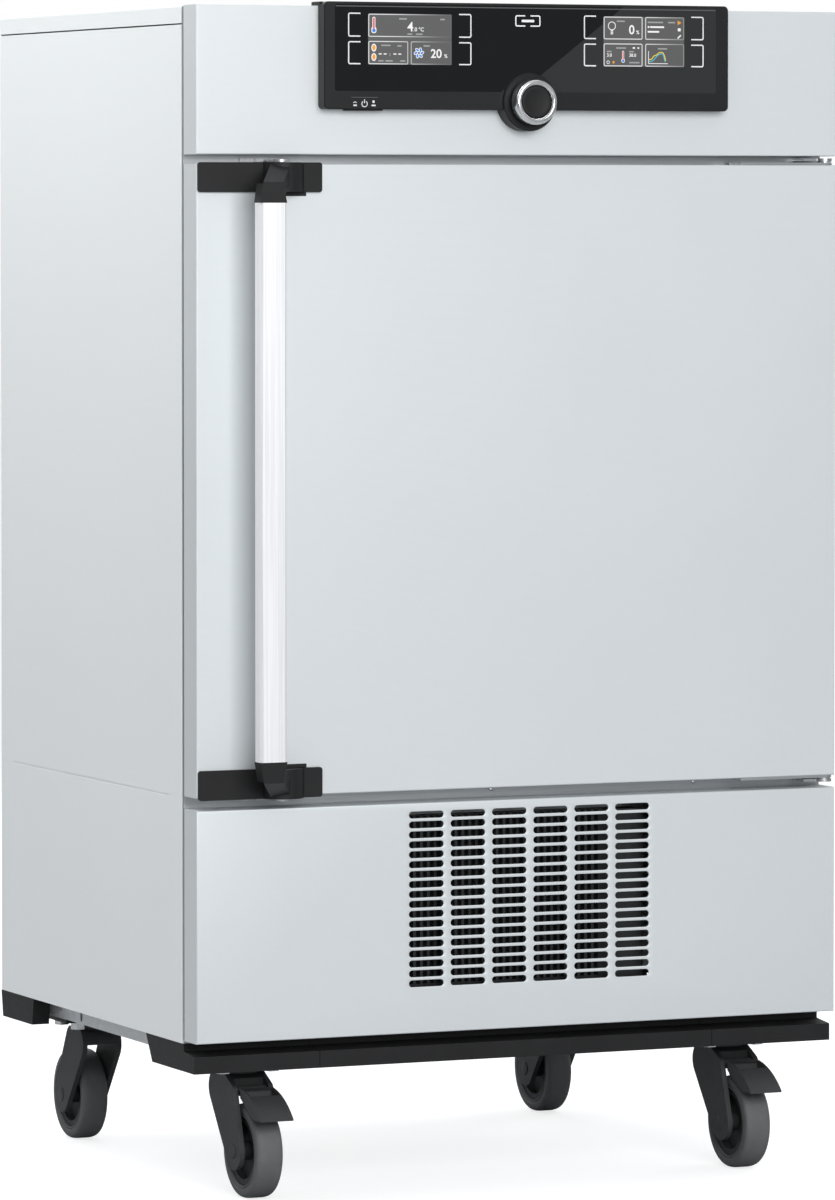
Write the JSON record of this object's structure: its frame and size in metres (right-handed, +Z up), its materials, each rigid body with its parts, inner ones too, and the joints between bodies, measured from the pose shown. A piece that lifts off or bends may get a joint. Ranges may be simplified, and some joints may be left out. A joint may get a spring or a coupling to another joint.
{
  "type": "cooling incubator",
  "caption": "Floor-standing cooling incubator on swivel casters: hinged door with turning bar handle, glass inner door, shelves, control panel with push-turn knob.",
  "frame": {"origin": "middle of the floor under the whole object", "axes": "+X to the right seen from the front, +Y to the back, +Z up"},
  "size_m": [0.745, 0.67, 1.2583],
  "materials": {
    "white_paint": "satin powder coat",
    "textured_steel": "embossed linen pattern, satin",
    "plain_steel": "satin",
    "zinc_steel": "zinc plated",
    "black_metal": "matt black",
    "black_plastic": "fine grained",
    "dark_plastic": "satin",
    "aluminium_bar": "satin anodised",
    "knob_metal": "spun",
    "control_glass": "polished",
    "screen": "lit display",
    "clear_glass": "polished",
    "foam": "rigid foam",
    "seal": "soft",
    "tyre": "soft grey rubber",
    "wheel_core": "moulded",
    "caster_plastic": "moulded, matt",
    "bright_zinc": "bright plated",
    "fins": "blackened",
    "compressor_black": "gloss black"
  },
  "bodies": {
    "cabinet": {"top_cover": "white_paint", "left_side_panel": "white_paint", "right_side_panel": "white_paint", "rear_panel": "plain_steel", "front_frame": "plain_steel", "chamber_liner": "plain_steel", "chamber_insulation": "foam", "chamber_seal": "seal", "upper_front_panel": "textured_steel", "lower_front_panel": "textured_steel", "base_frame": "zinc_steel", "front_bar": "black_plastic", "front_corners": "black_plastic", "rear_feet": "black_plastic", "condenser": "fins", "fan_shroud": "black_metal", "compressor": "compressor_black", "mains_inlet": "dark_plastic", "air_baffle": "plain_steel", "shelves": "plain_steel", "glass_door_brackets": "plain_steel", "hinge_brackets": "plain_steel", "latch_strikers": "zinc_steel", "cockpit_housing": "dark_plastic", "cockpit_pane": "control_glass", "display_screens": "screen", "caster_plates": "black_metal", "caster_bolts": "bright_zinc"},
    "door": {"door_shell": "textured_steel", "door_insulation": "foam", "door_inner_panel": "plain_steel", "hinge_leaves": "plain_steel", "handle_plates": "black_plastic"},
    "handle": {"handle_bar": "aluminium_bar", "handle_arms": "black_plastic", "latch_shafts": "zinc_steel"},
    "inner_door": {"glass_door": "clear_glass", "glass_door_fittings": "plain_steel"},
    "knob_slider": {"knob_spindle": "zinc_steel"},
    "knob": {"knob_ring": "knob_metal", "knob_cap": "black_plastic"},
    "switch": {"main_switch": "black_plastic"},
    "bay_fan": {"condenser_fan": "dark_plastic"},
    "air_fan": {"chamber_fan": "plain_steel"},
    "swivel_front_left": {"caster_fork_front_left": "caster_plastic"},
    "wheel_front_left": {"caster_tread_front_left": "tyre", "caster_hub_front_left": "wheel_core"},
    "swivel_front_right": {"caster_fork_front_right": "caster_plastic"},
    "wheel_front_right": {"caster_tread_front_right": "tyre", "caster_hub_front_right": "wheel_core"},
    "swivel_rear_left": {"caster_fork_rear_left": "caster_plastic"},
    "wheel_rear_left": {"caster_tread_rear_left": "tyre", "caster_hub_rear_left": "wheel_core"},
    "swivel_rear_right": {"caster_fork_rear_right": "caster_plastic"},
    "wheel_rear_right": {"caster_tread_rear_right": "tyre", "caster_hub_rear_right": "wheel_core"},
    "pedal_front_left": {"brake_pedal_front_left": "caster_plastic"},
    "pedal_front_right": {"brake_pedal_front_right": "caster_plastic"}
  },
  "joints": [
    {"name": "door_hinge", "type": "hinge", "parent": "cabinet", "child": "door", "pos_m": [0.3635, -0.27, 0.7588], "axis": [0, 0, 1], "range_deg": [0, 170]},
    {"name": "handle_turn", "type": "hinge", "parent": "door", "child": "handle", "pos_m": [-0.2755, -0.274, 0.7588], "axis": [0, 0, 1], "range_deg": [0, 50]},
    {"name": "inner_door_hinge", "type": "hinge", "parent": "cabinet", "child": "inner_door", "pos_m": [0.292, -0.235, 0.7588], "axis": [0, 0, 1], "range_deg": [0, 111]},
    {"name": "knob_push", "type": "slide", "parent": "cabinet", "child": "knob_slider", "axis": [0, 1, 0], "range_m": [0, 0.0015], "stiffness_N_per_m": 3000, "springref_m": -0.001},
    {"name": "knob_turn", "type": "hinge", "parent": "knob_slider", "child": "knob", "pos_m": [0, -0.309, 1.1545], "axis": [0, 1, 0], "continuous": true},
    {"name": "switch_push", "type": "slide", "parent": "cabinet", "child": "switch", "axis": [0, 0, 1], "range_m": [0, 0.0012], "stiffness_N_per_m": 2000, "springref_m": -0.001},
    {"name": "bay_fan_spin", "type": "hinge", "parent": "cabinet", "child": "bay_fan", "pos_m": [-0.0205, -0.189, 0.3107], "axis": [0, 1, 0], "continuous": true},
    {"name": "air_fan_spin", "type": "hinge", "parent": "cabinet", "child": "air_fan", "pos_m": [0, 0.171, 0.75875], "axis": [0, 1, 0], "continuous": true},
    {"name": "swivel_front_left", "type": "hinge", "parent": "cabinet", "child": "swivel_front_left", "pos_m": [-0.2858, -0.181, 0.13], "axis": [0, 0, 1], "continuous": true},
    {"name": "wheel_front_left", "type": "hinge", "parent": "swivel_front_left", "child": "wheel_front_left", "pos_m": [-0.2858, -0.222, 0.05], "axis": [1, 0, 0], "continuous": true},
    {"name": "swivel_front_right", "type": "hinge", "parent": "cabinet", "child": "swivel_front_right", "pos_m": [0.2858, -0.181, 0.13], "axis": [0, 0, 1], "continuous": true},
    {"name": "wheel_front_right", "type": "hinge", "parent": "swivel_front_right", "child": "wheel_front_right", "pos_m": [0.2858, -0.222, 0.05], "axis": [1, 0, 0], "continuous": true},
    {"name": "swivel_rear_left", "type": "hinge", "parent": "cabinet", "child": "swivel_rear_left", "pos_m": [-0.2858, 0.244, 0.13], "axis": [0, 0, 1], "continuous": true},
    {"name": "wheel_rear_left", "type": "hinge", "parent": "swivel_rear_left", "child": "wheel_rear_left", "pos_m": [-0.2858, 0.285, 0.05], "axis": [1, 0, 0], "continuous": true},
    {"name": "swivel_rear_right", "type": "hinge", "parent": "cabinet", "child": "swivel_rear_right", "pos_m": [0.2858, 0.244, 0.13], "axis": [0, 0, 1], "continuous": true},
    {"name": "wheel_rear_right", "type": "hinge", "parent": "swivel_rear_right", "child": "wheel_rear_right", "pos_m": [0.2858, 0.285, 0.05], "axis": [1, 0, 0], "continuous": true},
    {"name": "brake_front_left", "type": "hinge", "parent": "swivel_front_left", "child": "pedal_front_left", "pos_m": [-0.2858, -0.216, 0.113], "axis": [1, 0, 0], "range_deg": [0, 8]},
    {"name": "brake_front_right", "type": "hinge", "parent": "swivel_front_right", "child": "pedal_front_right", "pos_m": [0.2858, -0.216, 0.113], "axis": [1, 0, 0], "range_deg": [0, 8]}
  ],
  "couplings": [
    {"joint": "inner_door_hinge", "follows": "door_hinge", "ratio": 0.65}
  ]
}
